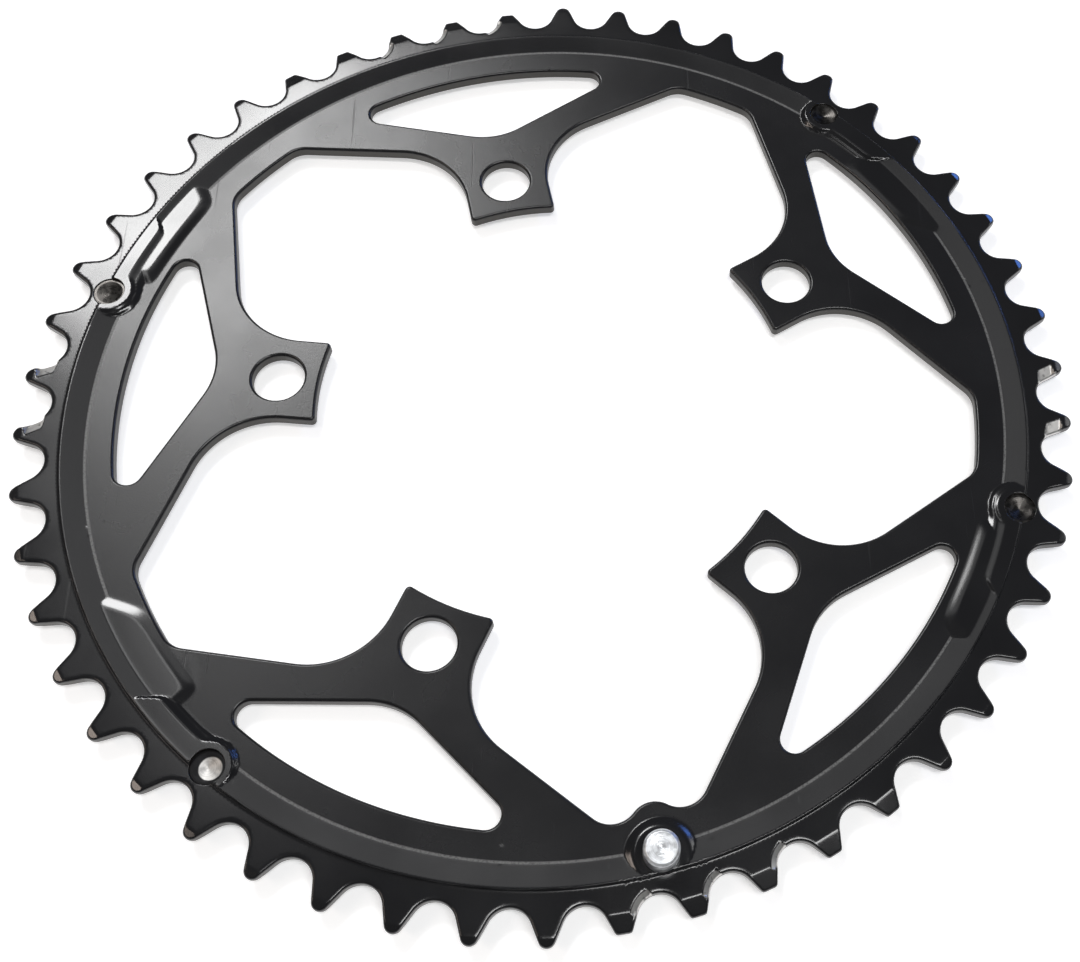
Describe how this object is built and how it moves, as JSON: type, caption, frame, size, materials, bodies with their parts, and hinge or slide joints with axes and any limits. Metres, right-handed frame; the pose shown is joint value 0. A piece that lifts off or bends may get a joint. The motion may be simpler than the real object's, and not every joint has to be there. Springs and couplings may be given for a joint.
{
  "type": "bicycle chainring",
  "caption": "Stamped outer chainring with bolt tabs, lightening windows, raised shift pads, pressed-in shift pins and a chain-drop pin; drives a bicycle chain from a crank spider.",
  "frame": {"origin": "centre of the bolt circle, on the inner face of the tabs, which is the mounting face", "axes": "+Z is the ring axis and points out of the outer face; +X and +Y lie in the ring, with one bolt at thirty degrees from +X"},
  "size_m": [0.207, 0.2072, 0.0098],
  "materials": {
    "plate": "black, satin gloss",
    "drop_pin": "turned, bare",
    "shift_pins": "turned, bare"
  },
  "bodies": {
    "root": {"chainring_plate": "plate", "chain_drop_pin": "drop_pin", "shift_pin_1": "shift_pins", "shift_pin_2": "shift_pins", "shift_pin_3": "shift_pins", "shift_pin_4": "shift_pins"}
  },
  "joints": []
}
